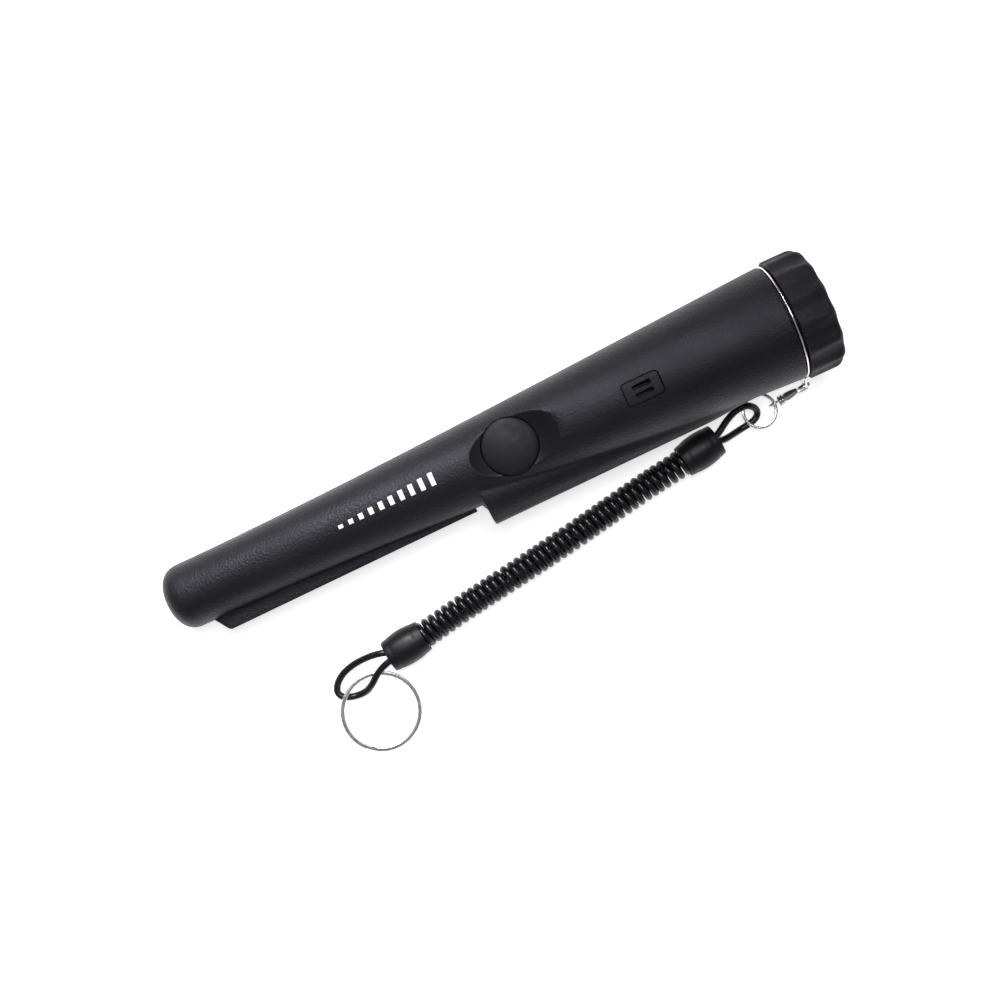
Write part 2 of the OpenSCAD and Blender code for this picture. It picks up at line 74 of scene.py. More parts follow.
# ---------------------------------------------------------------- meshes
def shape(name, verts, faces, place=PROBE, sharp=34):
    """A mesh object from millimetre points, with the place's matrix in its vertices."""
    me = bpy.data.meshes.new(name)
    me.from_pydata([tuple(v) for v in verts], [], [tuple(f) for f in faces])
    me.transform(place)
    me.validate()
    ob = bpy.data.objects.new(name, me)
    bpy.context.scene.collection.objects.link(ob)
    bm = bmesh.new()
    bm.from_mesh(me)
    bmesh.ops.recalc_face_normals(bm, faces=bm.faces)
    bm.to_mesh(me)
    bm.free()
    smooth(ob, sharp)
    return ob


def smooth(ob, sharp):
    ob.data.polygons.foreach_set("use_smooth", [True] * len(ob.data.polygons))
    ob.data.set_sharp_from_angle(angle=math.radians(sharp))


def rings(name, loops, place=PROBE, sharp=34, closed=False):
    """A skin through loops of points.

    A loop of one point closes an end, and closed joins the last loop to the first."""
    verts, starts = [], []
    for loop in loops:
        starts.append(len(verts))
        verts.extend(loop)
    faces = []
    pairs = list(zip(range(len(loops) - 1), range(1, len(loops))))
    if closed:
        pairs.append((len(loops) - 1, 0))
    for a, b in pairs:
        na, nb, sa, sb = len(loops[a]), len(loops[b]), starts[a], starts[b]
        n = max(na, nb)
        for k in range(n):
            m = (k + 1) % n
            if na == 1:
                faces.append((sa, sb + k, sb + m))
            elif nb == 1:
                faces.append((sa + k, sb, sa + m))
            else:
                faces.append((sa + k, sb + k, sb + m, sa + m))
    return shape(name, verts, faces, place, sharp)


def spun(points, n=96, axis="x", at=(0, 0, 0)):
    """Loops of a lathe from (place along the axis, radius) points; radius 0 gives one point."""
    loops = []
    for u, r in points:
        count = 1 if r == 0 else n
        loop = []
        for k in range(count):
            t = 2 * math.pi * k / n
            c, s = r * math.cos(t), r * math.sin(t)
            p = (u, -s, c) if axis == "x" else (c, s, u)
            loop.append((p[0] + at[0], p[1] + at[1], p[2] + at[2]))
        loops.append(loop)
    return loops


def prism(outline, levels):
    """Loops of a flat outline raised through (height, growth in millimetres) levels."""
    mid = (sum(p[0] for p in outline) / len(outline), sum(p[1] for p in outline) / len(outline))
    loops = [[(mid[0], mid[1], levels[0][0])]]
    for z, grow in levels:
        loops.append([(x + math.copysign(grow, x - mid[0]) * (abs(x - mid[0]) > 1e-9),
                       y + math.copysign(grow, y - mid[1]) * (abs(y - mid[1]) > 1e-9), z)
                      for x, y in outline])
    loops.append([(mid[0], mid[1], levels[-1][0])])
    return loops


def round_box(cx, cy, length, width, r, n=8):
    """Outline of a rectangle with round corners, anticlockwise."""
    out = []
    for sx, sy, a0 in ((1, 1, 0), (-1, 1, 90), (-1, -1, 180), (1, -1, 270)):
        for k in range(n + 1):
            a = math.radians(a0 + 90 * k / n)
            out.append((cx + sx * (length / 2 - r) + r * math.cos(a),
                        cy + sy * (width / 2 - r) + r * math.sin(a)))
    return out


def cut(ob, tools, how="DIFFERENCE", sharp=34):
    """Exact booleans, applied, with the tools removed."""
    for tool in tools:
        m = ob.modifiers.new("cut", "BOOLEAN")
        m.object, m.operation, m.solver = tool, how, "EXACT"
    dg = bpy.context.evaluated_depsgraph_get()
    me = bpy.data.meshes.new_from_object(ob.evaluated_get(dg))
    ob.modifiers.clear()
    old = ob.data
    ob.data = me
    bpy.data.meshes.remove(old)
    for tool in tools:
        bpy.data.objects.remove(tool)
    smooth(ob, sharp)
    return ob


def bevel(ob, width, segments=2, angle=34):
    m = ob.modifiers.new("edges", "BEVEL")
    m.width, m.segments, m.limit_method = width * MM, segments, "ANGLE"
    m.angle_limit = math.radians(angle)
    m.harden_normals = True
    return ob


def give(ob, material, body, slot, *nodes):
    """Material, body, record slot (not used) and the CAD nodes that a piece stands for."""
    ob.data.materials.clear()
    ob.data.materials.append(material)
    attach(ob, body)
    if nodes:
        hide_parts(*nodes)
    return ob


# The dish round the button is part of a sphere
SCOOP_R, SCOOP_AT = 31.0, (127.8, 0.0, 41.6)
DISH_MARGIN, DISH_GLOSS = 0.08, (0.3, 0.3, 0.3)


# ---------------------------------------------------------------- materials
class Surface:
    """A Principled material with object coordinates in metres and helpers for its nodes."""

    def __init__(self, name, colour, rough, metallic=0.0, **sockets):
        self.m = bpy.data.materials.new(name)
        self.m.use_nodes = True
        self.tree = self.m.node_tree
        self.skin = next(n for n in self.tree.nodes if n.type == "BSDF_PRINCIPLED")
        self.put("Base Color", (*colour, 1))
        self.put("Roughness", rough)
        self.put("Metallic", metallic)
        for key, value in sockets.items():
            self.put(key.replace("_", " "), value)
        self.where = self.tree.nodes.new("ShaderNodeTexCoord").outputs["Object"]
        self.height = None

    def put(self, socket, value):
        self.skin.inputs[socket].default_value = value

    def node(self, kind, **inputs):
        n = self.tree.nodes.new("ShaderNode" + kind)
        for key, value in inputs.items():
            self.wire(value, n.inputs[key.replace("_", " ")])
        return n

    def wire(self, value, socket):
        if isinstance(value, bpy.types.NodeSocket):
            self.tree.links.new(value, socket)
        else:
            socket.default_value = value

    def noise(self, size, detail=3, rough=0.5, where=None):
        n = self.node("TexNoise", Vector=where or self.where, Scale=1 / (size * MM),
                      Detail=detail, Roughness=rough)
        return n.outputs["Fac"]

    def cells(self, size, where=None, feature="F1"):
        n = self.node("TexVoronoi", Vector=where or self.where, Scale=1 / (size * MM))
        n.feature = feature
        return n.outputs["Distance"]

    def stretched(self, scale, turn=(0, 0, 0)):
        n = self.node("Mapping", Vector=self.where, Scale=scale, Rotation=turn)
        return n.outputs["Vector"]

    def ramp(self, value, low, high, at=(0.0, 1.0)):
        """A value turned into colours, or greys when low and high are numbers."""
        n = self.node("ValToRGB", Fac=value)
        for stop, place, c in zip(n.color_ramp.elements, at, (low, high)):
            stop.position = place
            stop.color = (*c, 1) if isinstance(c, tuple) else (c, c, c, 1)
        return n.outputs["Color"]

    def mix(self, share, a, b, how="MIX"):
        n = self.tree.nodes.new("ShaderNodeMix")
        n.data_type, n.blend_type = "RGBA", how
        self.wire(share, n.inputs[0])
        for value, socket in ((a, n.inputs[6]), (b, n.inputs[7])):
            self.wire((*value, 1) if isinstance(value, tuple) else value, socket)
        return n.outputs[2]

    def math(self, how, a, b=0.5):
        n = self.tree.nodes.new("ShaderNodeMath")
        n.operation = how
        self.wire(a, n.inputs[0])
        self.wire(b, n.inputs[1])
        return n.outputs[0]

    def colour(self, value):
        self.wire(value, self.skin.inputs["Base Color"])
        return self

    def roughness(self, value):
        self.wire(value, self.skin.inputs["Roughness"])
        return self

    def bump(self, height, depth, strength=1.0):
        """Adds a layer of bump of that depth in millimetres."""
        n = self.node("Bump", Height=height, Distance=depth * MM, Strength=strength)
        if self.height is not None:
            self.tree.links.new(self.height, n.inputs["Normal"])
        self.height = n.outputs["Normal"]
        self.tree.links.new(self.height, self.skin.inputs["Normal"])
        return self


def moulded(name, colour, lighter, rough, grain=0.7, depth=0.05, spread=0.1, spec=0.3,
            polished=False):
    """Spark-eroded plastic: a pebbled grain, a slow change of gloss and small pale specks.

    Polished leaves the grain out of the dish round the button."""
    s = Surface(name, colour, rough, Specular_IOR_Level=spec,
                Specular_Tint=(0.88, 0.84, 1.0, 1))
    pebbles = s.ramp(s.noise(grain, 2), 0.0, 1.0, (0.36, 0.64))
    fine = s.noise(grain * 0.4, 2)
    slow = s.noise(14, 3)
    gloss = s.ramp(slow, rough - spread / 2, rough + spread / 2, (0.3, 0.7))
    if polished:
        away = s.node("VectorMath", Vector=s.where)
        away.operation = "DISTANCE"
        away.inputs[1].default_value = PROBE @ Vector(SCOOP_AT)
        textured = s.math("GREATER_THAN", away.outputs["Value"], (SCOOP_R + DISH_MARGIN) * MM)
        pebbles, fine = s.math("MULTIPLY", pebbles, textured), s.math("MULTIPLY", fine, textured)
        gloss = s.mix(textured, DISH_GLOSS, gloss)
    s.bump(pebbles, depth * 1.3).bump(fine, depth)
    s.roughness(gloss)
    specks = s.ramp(s.noise(0.9, 2), 0.0, 1.0, (0.68, 0.8))
    s.colour(s.mix(specks, s.mix(slow, colour, lighter), tuple(2.2 * c for c in lighter)))
    return s


def rubber(name, colour, lighter, rough, size=0.5, depth=0.012, spec=0.45, sheen=0.0):
    s = Surface(name, colour, rough, Specular_IOR_Level=spec, Sheen_Weight=sheen)
    s.bump(s.noise(size, 4, 0.6), depth)
    slow = s.noise(9, 3)
    s.colour(s.mix(slow, colour, lighter))
    s.roughness(s.ramp(s.noise(2.5, 4), rough - 0.06, rough + 0.1, (0.35, 0.7)))
    return s


def metal(name, colour, rough, dull=0.12, streak=(1, 1, 1), depth=0.004, size=0.35):
    s = Surface(name, colour, rough, 1.0)
    scratches = s.noise(size, 5, 0.65, s.stretched(streak))
    s.bump(scratches, depth)
    tarnish = s.noise(3.0, 4, 0.6)
    s.roughness(s.ramp(tarnish, rough, rough + dull, (0.4, 0.75)))
    s.colour(s.mix(s.ramp(tarnish, 0.0, 0.5, (0.5, 0.8)), colour,
                   tuple(c * 0.72 for c in colour)))
    return s


CASE = moulded("case_plastic", (0.0065, 0.0062, 0.008), (0.009, 0.0087, 0.011), 0.44,
               polished=True).m
CAP = moulded("cap_plastic", (0.006, 0.0058, 0.0075), (0.0085, 0.0082, 0.0105), 0.56).m
GRILLE = moulded("grille_plastic", (0.006, 0.0058, 0.0072), (0.0085, 0.0082, 0.01), 0.46,
                 0.45).m
BUTTON = rubber("button_rubber", (0.0055, 0.0052, 0.0075), (0.0075, 0.007, 0.0098), 0.5, 0.3,
                0.006, 0.22).m
CORD = rubber("cord_rubber", (0.0048, 0.0044, 0.007), (0.0068, 0.0064, 0.0098), 0.24, 1.2, 0.006,
              0.42).m
FERRULE = rubber("ferrule_rubber", (0.005, 0.0046, 0.0075), (0.007, 0.0066, 0.0105), 0.42, 0.7,
                 0.03, 0.3).m
SEAL = rubber("seal_rubber", (0.05, 0.012, 0.01), (0.07, 0.016, 0.013), 0.5, 0.8, 0.01, 0.3).m
STEEL = metal("plated_steel", (0.88, 0.87, 0.86), 0.17, streak=(1, 1, 6)).m
SPRING_STEEL = metal("spring_steel", (0.8, 0.8, 0.81), 0.24, streak=(1, 1, 8)).m
RING_STEEL = metal("ring_steel", (0.62, 0.62, 0.64), 0.13, streak=(1, 1, 8)).m
TINNED = metal("tinned_wire", (0.72, 0.73, 0.74), 0.3).m


def ink():
    s = Surface("white_ink", (0.86, 0.86, 0.86), 0.5)
    worn = s.ramp(s.noise(0.35, 4, 0.7), 0.0, 1.0, (0.6, 0.74))
    s.colour(s.mix(worn, (0.88, 0.88, 0.89), (0.5, 0.5, 0.52)))
    s.bump(s.noise(0.3, 2), 0.02)
    return s.m


def clear(name, tint, rough):
    s = Surface(name, tint, rough, Transmission_Weight=0.96, IOR=1.49)
    s.bump(s.noise(2.5, 2), 0.004)
    s.roughness(s.ramp(s.noise(1.5, 3), rough, rough + 0.06, (0.5, 0.8)))
    return s.m


INK = ink()
LENS = clear("lens_clear", (0.97, 0.98, 1.0), 0.02)
LED = clear("led_resin", (1.0, 0.97, 0.86), 0.05)

# ---------------------------------------------------------------- cord, in TABLE millimetres
CORD_R = 1.22
COIL_MEAN = 3.7
COIL_TURNS = 40.7
COIL_PHASE = 0.9
COIL_Z, COIL_END_Z = 4.98, 6.3
PER_TURN = 26
NEAR = {"at": Vector((178.7, -29.0, 6.4)), "turn": math.radians(9.7)}
FAR = {"at": Vector((73.3, -45.8, 6.4)), "turn": math.radians(187.1)}
FERRULE_LEN = 14
SPIRAL_END = 9.5  # where the spiral inside a ferrule becomes a straight strand
NEAR_ROUTE = [
    (194.0, -24.9, 6.75), (198.0, -22.5, 6.1), (201.5, -20.9, 5.6), (204.5, -20.3, 5.8),
    (207.0, -20.6, 5.6), (209.0, -21.9, 4.0), (209.9, -23.4, 2.3), (209.4, -25.1, 1.4),
    (207.6, -26.2, 1.2), (205.2, -26.7, 1.2), (202.2, -27.1, 1.3), (199.0, -27.5, 2.6),
    (195.5, -27.8, 4.4)]
FAR_ROUTE = [
    (57.5, -45.3, 6.5), (54.0, -44.8, 5.6), (50.0, -44.8, 3.8), (46.0, -45.3, 2.2),
    (42.0, -46.6, 1.3), (39.0, -48.8, 1.2), (37.6, -51.4, 1.2), (38.4, -53.6, 1.2),
    (40.6, -54.8, 1.2), (43.6, -55.5, 1.3), (47.0, -55.3, 2.2), (50.2, -53.7, 4.3),
    (53.2, -51.4, 5.5), (56.4, -49.8, 5.9)]


def in_ferrule(which, along_it, side, up):
    """A point inside a ferrule: millimetres from its coil face, and offsets from its axis."""
    a = which["turn"]
    return which["at"] + Vector((along_it * math.cos(a) - side * math.sin(a),
                                 along_it * math.sin(a) + side * math.cos(a), up))


def eased(t):
    return t * t * (3 - 2 * t)


def helix_points():
    """The coil from the near ferrule to the far one, a left-hand helix that sags onto the table."""
    out = []
    n = round(COIL_TURNS * PER_TURN)
    start, end = in_ferrule(NEAR, 1.6, 0, 0), in_ferrule(FAR, 1.6, 0, 0)
    flat = Vector((end.x - start.x, end.y - start.y, 0))
    ahead = flat.normalized()
    side = Vector((ahead.y, -ahead.x, 0))
    for i in range(n + 1):
        t = i / n
        near_end = min(t, 1 - t) * flat.length
        z = COIL_Z + (COIL_END_Z - COIL_Z) * (1 - eased(min(1, near_end / 15)))
        wave = 0.22 * math.sin(2 * math.pi * 1.3 * t + 0.6) * eased(min(1, near_end / 20))
        uneven = 0.18 * math.sin(9.1 * t * math.pi) + 0.1 * math.sin(23.7 * t * math.pi)
        axis = start + flat * t + side * wave + ahead * uneven * eased(min(1, near_end / 12))
        theta = 2 * math.pi * COIL_TURNS * t + COIL_PHASE
        up, out_y = math.cos(theta), math.sin(theta)
        # theta runs from the top towards -Y while x falls: a left-hand coil
        p = Vector((axis.x, axis.y, z)) + COIL_MEAN * (Vector((0, 0, 1)) * up + side * out_y)
        out.append(p)
    return out


def spiral(which, helix_end, helix_next, strand):
    """Points inside a ferrule from the helix's end to the strand that leaves its other face."""
    axis = in_ferrule(which, 0, 0, 0)
    ahead = Vector((math.cos(which["turn"]), math.sin(which["turn"]), 0))
    side = Vector((-ahead.y, ahead.x, 0))

    def polar(p):
        d = p - axis
        return d.dot(ahead), math.atan2(d.dot(side), d.z), math.hypot(d.dot(side), d.z)

    u0, t0, r0 = polar(helix_end)
    _, t_before, _ = polar(helix_next)
    u1, t1, r1 = polar(in_ferrule(which, SPIRAL_END, *strand))
    way = math.copysign(1, math.remainder(t0 - t_before, 2 * math.pi))
    swing = way * ((way * (t1 - t0)) % (2 * math.pi))
    if abs(swing) < math.pi * 0.7:
        swing += way * 2 * math.pi
    out = []
    n = 22
    for k in range(1, n):
        s = k / n
        r = r0 + (r1 - r0) * eased(s)
        t = t0 + swing * s
        out.append(axis + ahead * (u0 + (u1 - u0) * s) + side * r * math.sin(t)
                   + Vector((0, 0, 1)) * r * math.cos(t))
    return out


def catmull(points, step):
    """A smooth line through the points, about one step apart."""
    out = []
    p = [points[0] * 2 - points[1]] + points + [points[-1] * 2 - points[-2]]
    for i in range(1, len(p) - 2):
        a, b, c, d = p[i - 1], p[i], p[i + 1], p[i + 2]
        n = max(2, round((c - b).length / step))
        for k in range(n):
            t = k / n
            out.append(0.5 * ((2 * b) + (c - a) * t + (2 * a - 5 * b + 4 * c - d) * t * t
                              + (3 * b - a - 3 * c + d) * t ** 3))
    return out + [points[-1]]


helix = helix_points()
STRAND_OUT, STRAND_BACK = (0.85, 0.83), (-0.85, -0.83)
FAR_OUT, FAR_BACK = (-1.3, 0.35), (1.3, -0.2)
near_loop = [in_ferrule(NEAR, u, *STRAND_BACK) for u in (6.0, 8.5, 11.0, 13.5)]
near_loop += [Vector(p) for p in reversed(NEAR_ROUTE)]
near_loop += [in_ferrule(NEAR, u, *STRAND_OUT) for u in (13.0, 10.8, SPIRAL_END)]
far_loop = [in_ferrule(FAR, u, *FAR_OUT) for u in (SPIRAL_END, 10.8, 13.0)]
far_loop += [Vector(p) for p in FAR_ROUTE]
far_loop += [in_ferrule(FAR, u, *FAR_BACK) for u in (13.5, 11.0, 8.5, 6.0)]
line = catmull(near_loop, 0.8)
line += list(reversed(spiral(NEAR, helix[0], helix[1], STRAND_OUT)))
line += helix
line += spiral(FAR, helix[-1], helix[-2], FAR_OUT)
line += catmull(far_loop, 0.8)
line = [TABLE @ Vector((p.x, p.y, max(p.z, CORD_R))) for p in line]

curve = bpy.data.curves.new("lanyard_cord", "CURVE")
curve.dimensions = "3D"
curve.bevel_depth = CORD_R * MM
curve.bevel_resolution = 4
curve.use_fill_caps = True
spline = curve.splines.new("POLY")
spline.points.add(len(line) - 1)
spline.points.foreach_set("co", [c for p in line for c in (*p, 1)])
spline.use_smooth = True
cord = bpy.data.objects.new("lanyard_cord", curve)
bpy.context.scene.collection.objects.link(cord)
give(cord, CORD, "lanyard", "cord", "cord_coil", "cord_loop_near", "cord_loop_far")


# ---------------------------------------------------------------- housing
NOSE_R, NOSE_LEN, NOSE_POWER = 11.3, 8.0, 2.5
SHAPE_X, REAR_X, REAR_R, WALL = 15.0, 225.5, 20.1, 2.2
BARREL_X, BARREL_R, BARREL_OFF, BARREL_TAPER = 112.0, 11.2, 10.4, 0.0875
BARREL_LEAN = math.radians(4.1)
BUTTON_X, PAD_UNDER = 127.3, 8.4
LAMP_AT = (0, -13.4, 0)
GRILLE_X, GRILLE_Y, SLOT_OFF = 174, -1.2, 1.4
BLADE = [(11.5, 10.5), (15.2, 15.9), (16.2, 16.5), (114.0, 14.9)]


def tube_r(x):
    """Radius of the plain body at x, with its blunt nose."""
    if x < NOSE_LEN:
        u = max(0.0, 1 - (1 - x / NOSE_LEN) ** NOSE_POWER)
        return NOSE_R * u ** (1 / NOSE_POWER)
    if x < SHAPE_X:
        return NOSE_R
    s = REAR_X - SHAPE_X
    t = (x - SHAPE_X) / s
    return ((2 * t ** 3 - 3 * t ** 2 + 1) * NOSE_R + (t ** 3 - 2 * t ** 2 + t) * s * 0.01
            + (3 * t ** 2 - 2 * t ** 3) * REAR_R + (t ** 3 - t ** 2) * s * 0.05)


def soft_max(a, b, k):
    h = np.maximum(k - np.abs(a - b), 0) / k
    return np.maximum(a, b) + h * h * k / 4


def soft_min(a, b, k):
    return -soft_max(-a, -b, k)


def columns():
    """Angles round the body from +Z towards -Y, closer together where there are edges."""
    spans = [(-62, 62, 1.24), (62, 82, 2.0), (82, 98, 0.5), (98, 135, 1.85), (135, 150, 1.0),
             (150, 298, 2.1)]
    out = []
    for a, b, step in spans:
        n = round((b - a) / step)
        out += [math.radians(a + (b - a) * k / n) for k in range(n)]
    return np.array(out)


PHI = columns()
UPWARD, OUTWARD = np.cos(PHI), np.sin(PHI)


def barrel_at(x):
    """Radius from the body's axis to the lamp barrel's skin, for each column."""
    m = OUTWARD * math.sin(BARREL_LEAN)
    q0 = np.array((x - BARREL_X, BARREL_OFF, 0.0))
    lean = np.array((math.cos(BARREL_LEAN), -math.sin(BARREL_LEAN), 0.0))
    t0 = float(q0 @ lean)
    c0 = BARREL_R - BARREL_TAPER * t0
    k = BARREL_TAPER
    a = 1 - m * m - (k * m) ** 2
    b = -OUTWARD * BARREL_OFF - t0 * m + k * m * c0
    c = float(q0 @ q0) - t0 * t0 - c0 * c0
    disc = b * b - a * c
    return np.where(disc > 0, (-b + np.sqrt(np.maximum(disc, 0))) / a, 0.0)


def blade_at(x):
    reach = np.interp(x, [p[0] for p in BLADE], [p[1] for p in BLADE])
    face = np.where(OUTWARD > 0.3, reach / np.maximum(OUTWARD, 0.3), 0.0)
    flank = 1.5 / np.maximum(np.abs(UPWARD), 1e-6)
    return np.where(OUTWARD > 0.3, soft_min(face, flank, 0.5), 0.0)


def outer_at(x, barrel_chamfer=None):
    """Outside of the housing at x, one radius for each column."""
    r = np.full(len(PHI), tube_r(x))
    if x > BLADE[0][0]:
        r = soft_max(r, blade_at(x), 0.5)
    if barrel_chamfer is not None:
        fade = 1.4 * eased(min(1.0, max(0.0, (x - 190) / 22)))
        r = soft_max(r, barrel_at(x) - barrel_chamfer - fade, 0.9)
    high = SCOOP_AT[2]
    disc = (UPWARD * high) ** 2 - high ** 2 - (x - SCOOP_AT[0]) ** 2 + SCOOP_R ** 2
    dish = UPWARD * high - np.sqrt(np.maximum(disc, 0))
    return np.where((UPWARD > 0.2) & (disc > 0), soft_min(r, dish, 0.16), r)


def inner_at(x):
    r = np.full(len(PHI), tube_r(x) - WALL)
    if abs(x - BUTTON_X) < 19:
        r = np.where(UPWARD > 0.2, np.minimum(r, PAD_UNDER / np.maximum(UPWARD, 0.2)), r)
    return r


def loop_at(x, r):
    return [(x, -q * s, q * c) for q, s, c in zip(r, OUTWARD, UPWARD)]


def steps(a, b, step):
    n = max(1, round((b - a) / step))
    return [a + (b - a) * k / n for k in range(n)]


def slot_outline(side):
    return round_box(GRILLE_X, GRILLE_Y + SLOT_OFF * side, 6, 1.2, 0.6)


def build_housing():
    loops = [[(0.0, 0.0, 0.0)]]
    for k in range(1, 30):
        a = math.radians(3.1 * k)
        x = NOSE_LEN * (1 - math.cos(a) ** (2 / NOSE_POWER))
        loops.append(loop_at(x, outer_at(x)))
    xs = steps(8, 11.4, 1) + steps(11.4, 17, 0.3) + steps(17, 108, 2.4) + steps(108, 111.6, 0.6)
    for x in xs:
        loops.append(loop_at(x, outer_at(x)))
    loops.append(loop_at(111.98, outer_at(111.98)))
    for x, chamfer in ((112.0, 0.55), (112.06, 0.28), (112.22, 0.1), (112.5, 0.0)):
        loops.append(loop_at(x, outer_at(x, chamfer)))
    for x in steps(112.9, 143.5, 0.45) + steps(143.5, 224.6, 2.2) + [224.6]:
        loops.append(loop_at(x, outer_at(x, 0.0)))
    end = np.full(len(PHI), 1.0)
    for x, r in ((225.15, 20.06), (225.36, 19.96), (225.5, 19.75), (225.5, 18.4), (227.0, 18.4),
                 (227.1, 18.3), (227.1, 17.6), (226.9, 17.45), (213.0, 17.45), (213.0, 16.0),
                 (184.0, 16.0), (183.0, 16.0)):
        loops.append(loop_at(x, end * r))
    for x in steps(175, 147, -4) + [146.31, 146.29] + steps(145, 109, -3) + [108.31, 108.29] \
            + steps(106, 16, -5):
        loops.append(loop_at(x, inner_at(x)))
    for x, share in ((11, 1.0), (7, 0.97), (5, 0.9), (3.8, 0.75), (3.2, 0.5)):
        loops.append(loop_at(x, end * share * 8.3))
    loops.append([(3.0, 0.0, 0.0)])
    ob = rings("housing", loops, sharp=38)
    well = spun([(4.5, 0), (4.5, 11.15), (8.4, 11.15), (8.4, 9.8), (17, 9.8), (17, 0)], 128, "z",
                (BUTTON_X, 0, 0))
    lamp = spun([(108, 0), (108, 3.0), (127.5, 3.0), (127.5, 0)], 64, "x", LAMP_AT)
    pocket = prism(round_box(GRILLE_X, GRILLE_Y, 13.3, 8.3, 1.6), [(15.4, 0), (20, 0)])
    tools = [rings("well", well), rings("lamp", lamp), rings("pocket", pocket)]
    for s in (-1, 1):
        tools.append(rings("slot", prism(slot_outline(s), [(12, 0), (20, 0)])))
    return cut(ob, tools, sharp=38)


give(build_housing(), CASE, "housing", "case", "housing_shell")


# ---------------------------------------------------------------- cap
FLUTES, CREST_R, FLUTE_DEPTH = 14, 21.0, 0.9
SCALLOP_HALF = CREST_R * math.sin(math.radians(150 / FLUTES))
SCALLOP_R = (SCALLOP_HALF ** 2 + FLUTE_DEPTH ** 2) / (2 * FLUTE_DEPTH)
SCALLOP_AT = CREST_R - FLUTE_DEPTH + SCALLOP_R
CAP_PHI = np.arange(FLUTES * 22) * 2 * math.pi / (FLUTES * 22)


def scallops():
    """Radius to the flutes for each column of the cap; far out between them."""
    pitch = 2 * math.pi / FLUTES
    d = np.abs(CAP_PHI - np.round(CAP_PHI / pitch) * pitch)
    disc = SCALLOP_R ** 2 - (SCALLOP_AT * np.sin(d)) ** 2
    return np.where(disc > 0, SCALLOP_AT * np.cos(d) - np.sqrt(np.maximum(disc, 0)), 60.0)


def cap_loop(x, r):
    xs = np.broadcast_to(x, r.shape)
    return [(float(u), -q * math.sin(t), q * math.cos(t)) for u, q, t in zip(xs, r, CAP_PHI)]


def build_cap():
    flute = scallops()
    full = np.full(len(CAP_PHI), 1.0)
    hollow = np.clip((22.0 - flute) / 1.9, 0, 1) ** 2
    loops = [[(240.0, 0.0, 0.0)]]
    outside = [(240, 4), (240, 10), (240, 12.6), (239.75, 12.85), (239.75, 13.75), (240, 14),
               (240, 16), (240, 17.2)]
    outside += [(236.5 + 3.5 * math.sin(math.radians(a)), 17.5 + 3.5 * math.cos(math.radians(a)))
                for a in range(84, -1, -7)]
    outside += [(x, 21.0) for x in (235.5, 234, 232.5, 231, 229.5, 228.4, 227.8)]
    outside += [(227.62, 20.93), (227.42, 20.72), (227.3, 20.45)]
    for x, r in outside:
        deeper = 0.6 * eased(min(1.0, max(0.0, (x - 231) / 8)))
        drawn = 0.3 * eased(min(1.0, max(0.0, (r - 14.5) / 3))) * (x > 236)
        loops.append(cap_loop(x - drawn * hollow, soft_min(full * r, flute - deeper, 0.7)))
    for x, r in ((227.3, 19.2), (227.35, 18.95), (228.7, 18.95), (228.7, 17.4), (227.2, 17.37)):
        loops.append(cap_loop(x, full * r))
    for x in steps(226.9, 215.2, -0.22):
        turn = (x / 3.0 - CAP_PHI / (2 * math.pi)) % 1.0
        ridge = np.clip((0.34 - np.abs(turn - 0.5)) / 0.16, 0, 1)
        fade = min(1.0, (226.9 - x) / 1.2, (x - 215.0) / 1.2)
        loops.append(cap_loop(x, 17.37 - 0.8 * fade * (1 - ridge)))
    for x, r in ((214.75, 17.2), (214.6, 17.0), (214.6, 16.3), (214.8, 16.1), (225.0, 16.1),
                 (236.8, 16.1)):
        loops.append(cap_loop(x, full * r))
    loops.append([(236.8, 0.0, 0.0)])
    return rings("screw_cap", loops, sharp=42)


give(build_cap(), CAP, "cap", "cap", "battery_cap")


# ---------------------------------------------------------------- button, grille and lamp
def button_points():
    """(height, radius) of the push button: stem, flange, straight side and a domed top."""
    out = [(5.6, 0), (5.6, 1.6), (6.55, 1.65), (6.6, 2.2), (6.6, 10.6), (6.75, 10.8),
           (7.9, 10.8), (8.1, 10.6), (8.1, 9.6), (8.2, 9.5), (11.5, 9.5)]
    out += [(11.75 + 0.5 * math.sin(math.radians(a)), 9.0 + 0.5 * math.cos(math.radians(a)))
            for a in (0, 18, 36, 54, 68)]
    crown = 38.2
    out += [(13.4 - crown + math.sqrt(crown ** 2 - r * r), r)
            for r in (8.7, 8.2, 7.6, 6.9, 6.0, 5.0, 4.0, 3.0, 2.0, 1.0)]
    return out + [(13.4, 0)]


give(rings("push_button", spun(button_points(), 128, "z", (BUTTON_X, 0, 0)), sharp=30),
     BUTTON, "button", "button", "power_button")


